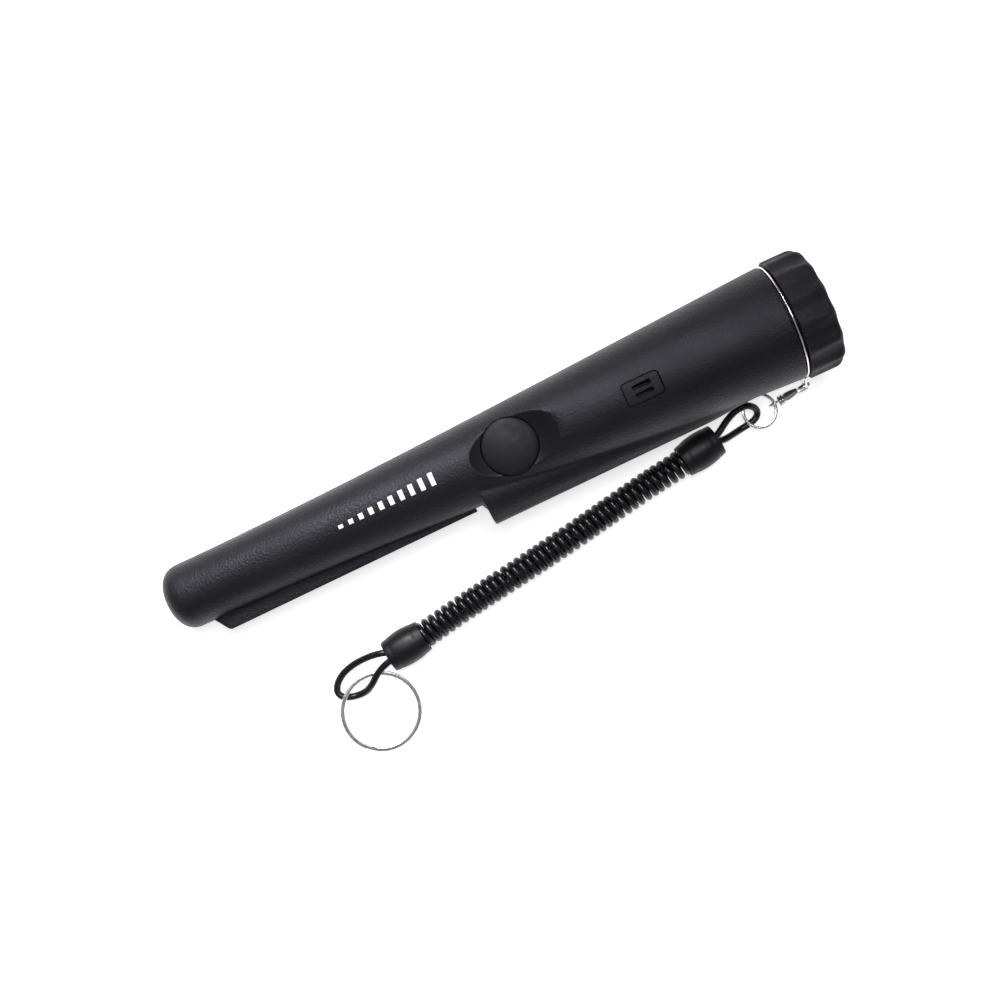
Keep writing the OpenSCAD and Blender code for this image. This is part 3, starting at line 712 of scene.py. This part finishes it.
def build_grille():
    """Plate that follows the body's skin, with two slots through it."""
    outline = round_box(GRILLE_X, GRILLE_Y, 12.8, 7.8, 1.4, 10)
    mid = (GRILLE_X, GRILLE_Y)

    def skin(x, y):
        return math.sqrt(tube_r(x) ** 2 - y * y)

    loops = [[(mid[0], mid[1], 15.45)],
             [(x, y, 15.45) for x, y in outline]]
    for inset, drop in ((0.0, 0.32), (0.06, 0.14), (0.18, 0.03), (0.4, 0.0)):
        k = 1 - inset / 5.0
        loops.append([(mid[0] + (x - mid[0]) * k, mid[1] + (y - mid[1]) * k,
                       skin(mid[0] + (x - mid[0]) * k, mid[1] + (y - mid[1]) * k) - drop)
                      for x, y in outline])
    for share in (0.8, 0.65, 0.5, 0.35, 0.2, 0.08):
        loops.append([(mid[0] + (x - mid[0]) * share, mid[1] + (y - mid[1]) * share,
                       skin(mid[0] + (x - mid[0]) * share, mid[1] + (y - mid[1]) * share))
                      for x, y in outline])
    loops.append([(mid[0], mid[1], skin(*mid))])
    ob = rings("sounder_grille", loops, sharp=34)
    tools = []
    for s in (-1, 1):
        top = tube_r(GRILLE_X) - 0.25
        tools.append(rings("slot", prism(slot_outline(s),
                                         [(12, 0), (top - 0.3, 0), (top + 0.5, 0.4)])))
    return cut(ob, tools)


give(build_grille(), GRILLE, "housing", "grille", "speaker_grille")

lens = [(110.4, 0)]
lens += [(114.0 - 3.6 * math.cos(math.radians(a)), 3.6 * math.sin(math.radians(a)))
         for a in (5, 10, 15, 20, 26, 32, 38, 44, 50)]
lens += [(111.9, 2.8), (112.1, 2.82), (112.16, 2.97), (114.1, 2.97), (114.2, 2.85), (114.2, 1.6),
         (113.7, 0.8), (113.5, 0)]
give(rings("lamp_lens", spun(lens, 64, "x", LAMP_AT)), LENS, "housing", "lens",
     "led_lens")

cup = [(114.3, 2.9), (115.0, 2.86), (116.4, 2.72), (117.6, 2.5), (117.6, 2.94), (114.3, 2.97)]
give(rings("lamp_reflector", spun(cup, 64, "x", LAMP_AT), closed=True), SPRING_STEEL,
     "housing", "steel")


# ---------------------------------------------------------------- marks on the body
BARS, BAR_START, BAR_PITCH, BAR_WIDE, BAR_BASE, BAR_COLS = 10, 65.0, 3.75, 1.7, -1.4, 6


def build_marks():
    """Ten generic bars of rising height, printed along the top of the body."""
    verts, faces = [], []
    for i in range(BARS):
        x0 = BAR_START + BAR_PITCH * i
        tall = 1.3 + 0.36 * i
        for top in (False, True):
            for k in range(BAR_COLS + 1):
                for x in (x0, x0 + BAR_WIDE):
                    inset = 0.05 if top else 0.0
                    xx = x + (inset if x == x0 else -inset)
                    y = BAR_BASE + inset + (tall - 2 * inset) * k / BAR_COLS
                    r = tube_r(xx) + (0.045 if top else -0.02)
                    verts.append((xx, y, math.sqrt(r * r - y * y)))
        s = len(verts) - 4 * (BAR_COLS + 1)
        t = s + 2 * (BAR_COLS + 1)
        for k in range(BAR_COLS):
            a, b, c, d = s + 2 * k, s + 2 * k + 1, s + 2 * k + 2, s + 2 * k + 3
            ta, tb, tc, td = a - s + t, b - s + t, c - s + t, d - s + t
            faces += [(ta, tb, td, tc), (a, c, d, b), (a, ta, tc, c), (b, d, td, tb)]
        for a, b in ((s, s + 1), (t - 2, t - 1)):
            faces.append((a, b, b - s + t, a - s + t))
    return shape("printed_bars", verts, faces)


give(build_marks(), INK, "housing", "case")


# ---------------------------------------------------------------- rings and ferrules
def build_split_ring(name, r, w, h, place):
    """A flat spring-wire ring of nearly two turns that steps from one level to the other."""
    jog, gap = math.radians(30), math.radians(2)
    a0, a1 = jog / 2 + gap, 4 * math.pi - jog / 2 - gap
    n = 260 if r > 10 else 150
    half_w, half_h, corner = w / 2, h / 4 - 0.02, min(w, h / 2) * 0.28
    section = []
    for su, sv, start in ((1, 1, 0), (-1, 1, 90), (-1, -1, 180), (1, -1, 270)):
        for k in range(4):
            a = math.radians(start + 30 * k)
            section.append((su * (half_w - corner) + corner * math.cos(a),
                            sv * (half_h - corner) + corner * math.sin(a)))
    loops = []
    for i in range(n + 1):
        t = a0 + (a1 - a0) * i / n
        rise = min(1.0, max(0.0, (t - 2 * math.pi + jog / 2) / jog))
        z = h / 4 * (2 * eased(rise) - 1)
        mid = r - w / 2
        tip = min(i, n - i)
        slim = (0.8, 0.93)[tip] if tip < 2 else 1.0
        loops.append([((mid + u * slim) * math.cos(t), (mid + u * slim) * math.sin(t),
                       z + v * slim) for u, v in section])
    # Both ends are worked out late, so both close on the middle of the last loop
    ends = [[(sum(p[k] for p in loop) / len(loop) for k in range(3))] for loop in
            (loops[0], loops[-1])]
    loops = [[tuple(ends[0][0])]] + loops + [[tuple(ends[1][0])]]
    return rings(name, loops, place, sharp=50)


key_place = (TABLE @ Matrix.Translation((48.8, -63.7, 2.32))
             @ Matrix.Rotation(math.radians(41), 4, "Z") @ Matrix.Rotation(math.radians(5.3), 4, "X"))
key_ring = give(build_split_ring("key_split_ring", 14.0, 1.4, 2.0,
                                 key_place @ Matrix.Rotation(math.radians(200), 4, "Z")),
                SPRING_STEEL, "key_ring", "steel", "key_ring")
small_at = Vector(joints["lanyard_swing"]["pos_m"])
small_ring = give(build_split_ring("small_ring", 6.2, 1.0, 1.7,
                                   Matrix.Translation(small_at) @ Matrix.Scale(MM, 4)
                                   @ Matrix.Rotation(math.radians(100), 4, "Z")),
                  RING_STEEL, "lanyard", "steel", "small_split_ring")


def build_ferrule(name, which):
    """A barrel-shaped moulded sleeve: a wide bore for the coil and a narrow one for the loop."""
    outside = [(0.12, 5.2), (0.0, 5.32), (0.05, 5.5)]
    for k in range(1, 24):
        u = FERRULE_LEN * k / 24
        bulge = 5.5 + 0.85 * math.sin(math.pi * k / 24)
        groove = 0.16 * (math.exp(-((u - 2.2) / 0.28) ** 2) + math.exp(-((u - 11.8) / 0.28) ** 2))
        outside.append((u, bulge - groove))
    outside += [(13.95, 5.5), (14.0, 5.25), (13.9, 4.9), (13.55, 3.4), (13.4, 3.0), (13.1, 2.85)]
    inside = [(4.4, 2.85), (3.9, 3.2), (3.6, 4.75), (3.3, 4.92), (0.5, 4.95), (0.2, 5.05)]
    place = (TABLE @ Matrix.Translation(which["at"])
             @ Matrix.Rotation(which["turn"], 4, "Z"))
    return rings(name, spun(outside + inside, 72), place, sharp=50, closed=True)


ferrule_near = give(build_ferrule("ferrule_by_probe", NEAR), FERRULE, "lanyard", "ferrule",
                    "ferrule_near")
ferrule_far = give(build_ferrule("ferrule_by_key_ring", FAR), FERRULE, "lanyard", "ferrule",
                   "ferrule_far")


# ---------------------------------------------------------------- hanger ring and clasp
def build_hanger():
    """A round-edged ring in the gap before the cap, with a pierced ear."""
    edge = [(225.92, 18.6), (225.88, 19.3), (225.95, 19.75), (226.1, 19.95), (226.3, 20.0),
            (226.48, 19.95), (226.62, 19.75), (226.66, 19.3), (226.62, 18.6)]
    ring = rings("hanger", spun(edge, 160), sharp=60, closed=True)
    tab = [(-7.4, -18.9), (-5.0, -20.6), (-2.9, -23.3), (-2.3, -24.4)]
    tab += [(2.3 * math.cos(math.radians(a)), -24.4 + 2.3 * math.sin(math.radians(a)))
            for a in range(190, 351, 16)]
    tab += [(2.3, -24.4), (2.9, -23.3), (5.0, -20.6), (7.4, -18.9), (0, -18.75)]
    turn = math.radians(23)

    def place_ear(across, out, x):
        return (x, out * math.cos(turn) - across * math.sin(turn),
                out * math.sin(turn) + across * math.cos(turn))
    mid_out = -21.8
    loops = [[place_ear(0, mid_out, 225.95)]]
    for x, k in ((225.95, 0.965), (226.05, 1.0), (226.5, 1.0), (226.6, 0.965)):
        loops.append([place_ear(a * k, mid_out + (o - mid_out) * k, x) for a, o in tab])
    loops.append([place_ear(0, mid_out, 226.6)])
    ear = rings("ear", loops, sharp=40)
    hole = rings("hole", [[place_ear(0, -24.4, 224)]]
                 + [[place_ear(1.3 * math.cos(t), -24.4 + 1.3 * math.sin(t), x)
                     for t in np.arange(32) * math.pi / 16] for x in (224, 228)]
                 + [[place_ear(0, -24.4, 228)]])
    return cut(cut(ring, [ear], "UNION", 50), [hole], sharp=50)


give(build_hanger(), STEEL, "hanger", "steel", "hanger_ring")

# The clasp's own axes: u from the hook to the tail, w across its flat side
u_axis = Vector(joints["clasp_swivel_turn"]["axis"]).normalized()
w_axis = Vector(joints["clasp_lever_open"]["axis"]).normalized()
v_axis = w_axis.cross(u_axis).normalized()
hook_at = (Vector(joints["clasp_lever_open"]["pos_m"]) - 4.1 * MM * u_axis - 1.1 * MM * v_axis)
CLASP = Matrix((
    (u_axis.x, v_axis.x, w_axis.x, hook_at.x),
    (u_axis.y, v_axis.y, w_axis.y, hook_at.y),
    (u_axis.z, v_axis.z, w_axis.z, hook_at.z),
    (0, 0, 0, 1))) @ Matrix.Scale(MM, 4)


HOOK_R = 2.45
EYE_U, EYE_R, EYE_WIRE = 11.7, 1.75, 0.52


def build_hook():
    """A round-sectioned hook that runs into a swelling trunk with a turned collar."""
    n = 24
    loops = []
    first, last = math.radians(109), math.radians(352)
    for k in range(41):
        a = first + (last - first) * k / 40
        tip = min(1.0, 0.55 + k * 0.22)
        half_r, half_w = 0.62 * tip, 0.82 * tip
        loops.append([((HOOK_R + half_r * math.cos(t)) * math.cos(a),
                       (HOOK_R + half_r * math.cos(t)) * math.sin(a), half_w * math.sin(t))
                      for t in np.arange(n) * 2 * math.pi / n])
    ends = [[tuple(sum(p[i] for p in loop) / n for i in range(3))] for loop in
            (loops[0], loops[-1])]
    hook = rings("hook", [ends[0]] + loops + [ends[1]], CLASP, sharp=50)
    trunk = [(1.9, -1.5, 0.35, 0.5), (2.1, -1.5, 0.62, 0.9), (2.9, -1.15, 1.05, 1.2),
             (3.8, -0.6, 1.6, 1.5), (4.8, -0.15, 2.0, 1.75), (5.8, 0.0, 2.1, 1.9),
             (6.9, 0.0, 2.05, 1.9), (7.4, 0.0, 1.9, 1.8), (7.52, 0.0, 1.45, 1.3),
             (7.75, 0.0, 1.45, 1.3), (7.87, 0.0, 2.0, 2.0), (8.5, 0.0, 2.05, 2.05),
             (8.8, 0.0, 1.8, 1.8), (8.9, 0.0, 1.2, 1.2)]
    loops = []
    for u, mid, half_v, half_w in trunk:
        loop = []
        for t in np.arange(n) * 2 * math.pi / n:
            c, d = math.cos(t), math.sin(t)
            loop.append((u, mid + half_v * math.copysign(abs(c) ** 0.75, c),
                         half_w * math.copysign(abs(d) ** 0.75, d)))
        loops.append(loop)
    body = rings("trunk", [[(1.85, -1.5, 0)]] + loops + [[(8.9, 0, 0)]], CLASP, sharp=50)
    return cut(hook, [body], "UNION", 50)


clasp_hook = give(build_hook(), STEEL, "clasp", "steel", "clasp_body")
clasp_hook.name = "clasp_hook"

post = [(9.0, 0), (9.0, 1.6), (9.1, 2.0), (9.4, 2.2), (9.7, 2.0), (9.85, 1.4), (9.95, 0.8),
        (10.1, 0.62), (10.1, 0)]
eye_ring = []
for a in np.arange(48) * 2 * math.pi / 48:
    eye_ring.append([(EYE_U + (EYE_R + EYE_WIRE * math.cos(t)) * math.cos(a),
                      (EYE_R + EYE_WIRE * math.cos(t)) * math.sin(a), EYE_WIRE * math.sin(t))
                     for t in np.arange(16) * math.pi / 8])
swivel = rings("swivel_eye", eye_ring, CLASP, sharp=60, closed=True)
collar = rings("collar", spun(post, 40), CLASP, sharp=50)
give(cut(swivel, [collar], "UNION", 50), STEEL, "swivel", "steel", "clasp_swivel")


# ---------------------------------------------------------------- foam pads inside
def foam():
    s = Surface("open_foam", (0.045, 0.045, 0.05), 0.95, Specular_IOR_Level=0.1)
    pore_depth_and_shade = s.cells(0.7)
    s.bump(pore_depth_and_shade, 0.25).bump(s.noise(0.3, 3), 0.08)
    # The colour follows the pits of the bump: pores are painted darker than their rims, which is
    # painted shade in the recesses.
    s.colour(s.mix(s.ramp(pore_depth_and_shade, 0.0, 1.0, (0.1, 0.6)), (0.02, 0.02, 0.022), (0.07, 0.07, 0.075)))
    return s.m


FOAM = foam()


def pad(name, outlines, body, node):
    """A crowned foam pad, a little slack at its edges."""
    ob = rings(name, outlines, sharp=60)
    give(ob, FOAM, body, "foam", node)


def foam_disc(x0, x1, r, soft=0.7):
    mid = (x0 + x1) / 2
    out = [(x0 + 0.12, 0), (x0, r * 0.5), (x0 + 0.05, r - soft), (x0 + soft * 0.4, r - 0.15)]
    out += [(mid, r), (x1 - soft * 0.4, r - 0.15), (x1 - 0.05, r - soft), (x1, r * 0.5)]
    return spun(out + [(x1 - 0.12, 0)], 64)


pad("nose_foam", foam_disc(5.0, 12.0, 5.95), "housing", "tip_pad")
pad("cap_foam", foam_disc(231.3, 236.75, 15.5), "cap", "cap_cushion")


BAY_R, BATTERY_HALF = 15.9, 8.6


def crescent(sign):
    """Outlines along x of a foam strip between the flat of the battery and the round bay."""
    loops = []
    reach = math.sqrt(BAY_R ** 2 - BATTERY_HALF ** 2)
    for x, slack in ((189.65, 1.1), (189.8, 0.5), (190.4, 0.15), (195, 0.0), (201, 0.0),
                     (207, 0.0), (212.2, 0.15), (212.8, 0.5), (212.95, 1.1)):
        wide = reach - slack
        arc = [(wide * (1 - 2 * k / 20)) for k in range(21)]
        edge = [(y, math.sqrt((BAY_R - slack * 0.5) ** 2 - y * y)) for y in arc]
        flat = [(y, BATTERY_HALF + slack * 0.4) for y in reversed(arc[1:-1])]
        loops.append([(x, sign * y, sign * max(z, 8.62)) for y, z in edge + flat])
    ends = [[(loops[k][0][0], 0.0, sign * 12.0)] for k in (0, -1)]
    return [ends[0]] + loops + [ends[1]]


strips = [rings("strip", crescent(s), sharp=60) for s in (1, -1)]
with bpy.context.temp_override(active_object=strips[0], selected_editable_objects=strips,
                               object=strips[0], selected_objects=strips):
    bpy.ops.object.join()
strips[0].name = "battery_foam"
give(strips[0], FOAM, "housing", "foam", "battery_pads")


# ---------------------------------------------------------------- CAD nodes that stay
def copper():
    s = Surface("copper_winding", (0.6, 0.22, 0.08), 0.28, 0.9)
    along_axis = s.node("Mapping", Vector=s.where, Rotation=(0, -math.atan2(along.z, along.x), 0))
    turns_and_shade = s.node("TexWave", Vector=along_axis.outputs["Vector"], Scale=1 / (1.9 * MM),
                   Distortion=0.4, Detail=1)
    turns_and_shade.wave_type, turns_and_shade.bands_direction, turns_and_shade.wave_profile = "BANDS", "X", "SIN"
    s.bump(turns_and_shade.outputs["Fac"], 0.08)
    # The same wave colours the turns: darker in the troughs between wire turns, which is painted
    # shade, and full copper on the crests.
    s.colour(s.mix(turns_and_shade.outputs["Fac"], (0.28, 0.08, 0.03), (0.68, 0.27, 0.1)))
    return s.m


def board():
    s = Surface("solder_mask", (0.01, 0.09, 0.035), 0.3, Specular_IOR_Level=0.5)
    tracks = s.cells(3.2, feature="DISTANCE_TO_EDGE")
    lines = s.ramp(tracks, 1.0, 0.0, (0.02, 0.05))
    s.bump(lines, 0.03)
    s.colour(s.mix(lines, (0.008, 0.07, 0.028), (0.03, 0.2, 0.075)))
    return s.m


def jacket():
    s = Surface("battery_jacket", (0.03, 0.03, 0.032), 0.32, 0.3)
    x = s.node("SeparateXYZ", Vector=s.where).outputs["X"]
    band = s.node("MapRange", Value=x)
    low = (PROBE @ Vector((216, 0, 0))).x
    band.inputs["From Min"].default_value = low - 0.2 * MM
    band.inputs["From Max"].default_value = low + 0.2 * MM
    s.colour(s.mix(band.outputs["Result"], (0.02, 0.02, 0.022), (0.6, 0.3, 0.08)))
    s.bump(s.noise(4, 2), 0.02)
    return s.m


NYLON = moulded("nylon_carrier", (0.2, 0.205, 0.22), (0.26, 0.265, 0.28), 0.5, 0.5, 0.01).m
BOBBIN = moulded("nylon_bobbin", (0.6, 0.57, 0.48), (0.68, 0.65, 0.56), 0.45, 0.5, 0.01).m
EPOXY = moulded("black_epoxy", (0.012, 0.012, 0.013), (0.02, 0.02, 0.021), 0.55, 0.3, 0.012).m
FERRITE = moulded("ferrite", (0.035, 0.035, 0.038), (0.055, 0.055, 0.06), 0.7, 0.35, 0.03).m
TUNGSTEN = metal("sintered_weight", (0.42, 0.41, 0.39), 0.45, 0.15, depth=0.01).m
WIRES = rubber("wire_insulation", (0.45, 0.03, 0.025), (0.52, 0.045, 0.035), 0.4, 0.8, 0.006).m

KEPT = {
    LED: ["led"], TINNED: ["led_leads", "battery_terminals", "switch_body"],
    EPOXY: ["switch_plunger", "board_components", "buzzer"], board(): ["circuit_board"],
    NYLON: ["board_tray", "motor_mount", "rod_holder"],
    STEEL: ["board_screws", "vibration_motor", "clasp_lever", "clasp_pin"],
    TUNGSTEN: ["motor_weight"], FERRITE: ["ferrite_rod"], BOBBIN: ["coil_bobbin"],
    copper(): ["coil_winding"], WIRES: ["sense_leads", "snap_leads"], jacket(): ["battery"],
    FERRULE: ["battery_snap"], SEAL: ["cap_seal"],
}
EDGES = {"clasp_lever": 0.22, "battery": 0.8,
         "battery_snap": 0.4, "board_components": 0.12, "switch_body": 0.15, "buzzer": 0.25,
         "vibration_motor": 0.2, "coil_bobbin": 0.15, "board_tray": 0.2, "motor_weight": 0.1}
for material, names in KEPT.items():
    for node in names:
        ob = frame["nodes"][node]
        ob.data.materials.clear()
        ob.data.materials.append(material)
        if node in EDGES:
            bevel(ob, EDGES[node])


# ---------------------------------------------------------------- stage and light
def paper():
    s = Surface("floor_paper", (0.9, 0.9, 0.9), 0.9, Specular_IOR_Level=0.2,
                Emission_Color=(1, 1, 1, 1), Emission_Strength=0.7)
    s.bump(s.noise(2, 3), 0.01)
    s.roughness(s.ramp(s.noise(40, 2), 0.85, 0.95))
    return s.m


floor = shape("floor", [(x, y, -0.02) for x, y in ((-4e3, -4e3), (4e3, -4e3), (4e3, 4e3),
                                                   (-4e3, 4e3))], [(0, 1, 2, 3)], TABLE)
floor.data.materials.append(paper())


def soft_box(name, aim_x, tilt, turn, size, radiance, far):
    """An area light aimed at the probe: tilt from overhead, turn of its side from -Y, degrees."""
    light = bpy.data.lights.new(name, "AREA")
    light.shape, light.size, light.size_y = "RECTANGLE", size[0], size[1]
    light.energy = radiance * math.pi * size[0] * size[1]
    ob = bpy.data.objects.new(name, light)
    bpy.context.scene.collection.objects.link(ob)
    a, t = math.radians(tilt), math.radians(turn)
    aim = TABLE @ Vector((aim_x, 0, 15))
    ob.location = aim + far * Vector((math.sin(a) * math.sin(t), -math.sin(a) * math.cos(t),
                                      math.cos(a)))
    ob.rotation_euler = (aim - ob.location).to_track_quat("-Z", "Y").to_euler()


soft_box("top", 215, 10, 180, (0.4, 0.24), 8, 0.8)
key = bpy.data.objects.new("key", bpy.data.lights.new("key", "SPOT"))
bpy.context.scene.collection.objects.link(key)
key.data.energy, key.data.shadow_soft_size = 21, 0.12
key.data.spot_size, key.data.spot_blend = math.radians(36), 1.0
key.location = TABLE @ Vector((40, 390, 497))
key.rotation_euler = ((TABLE @ Vector((45, 0, 15))) - key.location).to_track_quat(
    "-Z", "Y").to_euler()

world = bpy.data.worlds.new("room")
bpy.context.scene.world = world
world.use_nodes = True
tree = world.node_tree
back = next(n for n in tree.nodes if n.type == "BACKGROUND")
sky_at = tree.nodes.new("ShaderNodeTexCoord")
split = tree.nodes.new("ShaderNodeSeparateXYZ")
sky = tree.nodes.new("ShaderNodeValToRGB")
tree.links.new(sky_at.outputs["Generated"], split.inputs["Vector"])
tree.links.new(split.outputs["Z"], sky.inputs["Fac"])
tree.links.new(sky.outputs["Color"], back.inputs["Color"])
low_sky, high_sky = sky.color_ramp.elements
low_sky.position, low_sky.color = 0.06, (0.45, 0.45, 0.45, 1)
high_sky.position, high_sky.color = 0.42, (0.17, 0.17, 0.18, 1)
back.inputs["Strength"].default_value = 1.05
bpy.context.scene.view_settings.view_transform = "Standard"
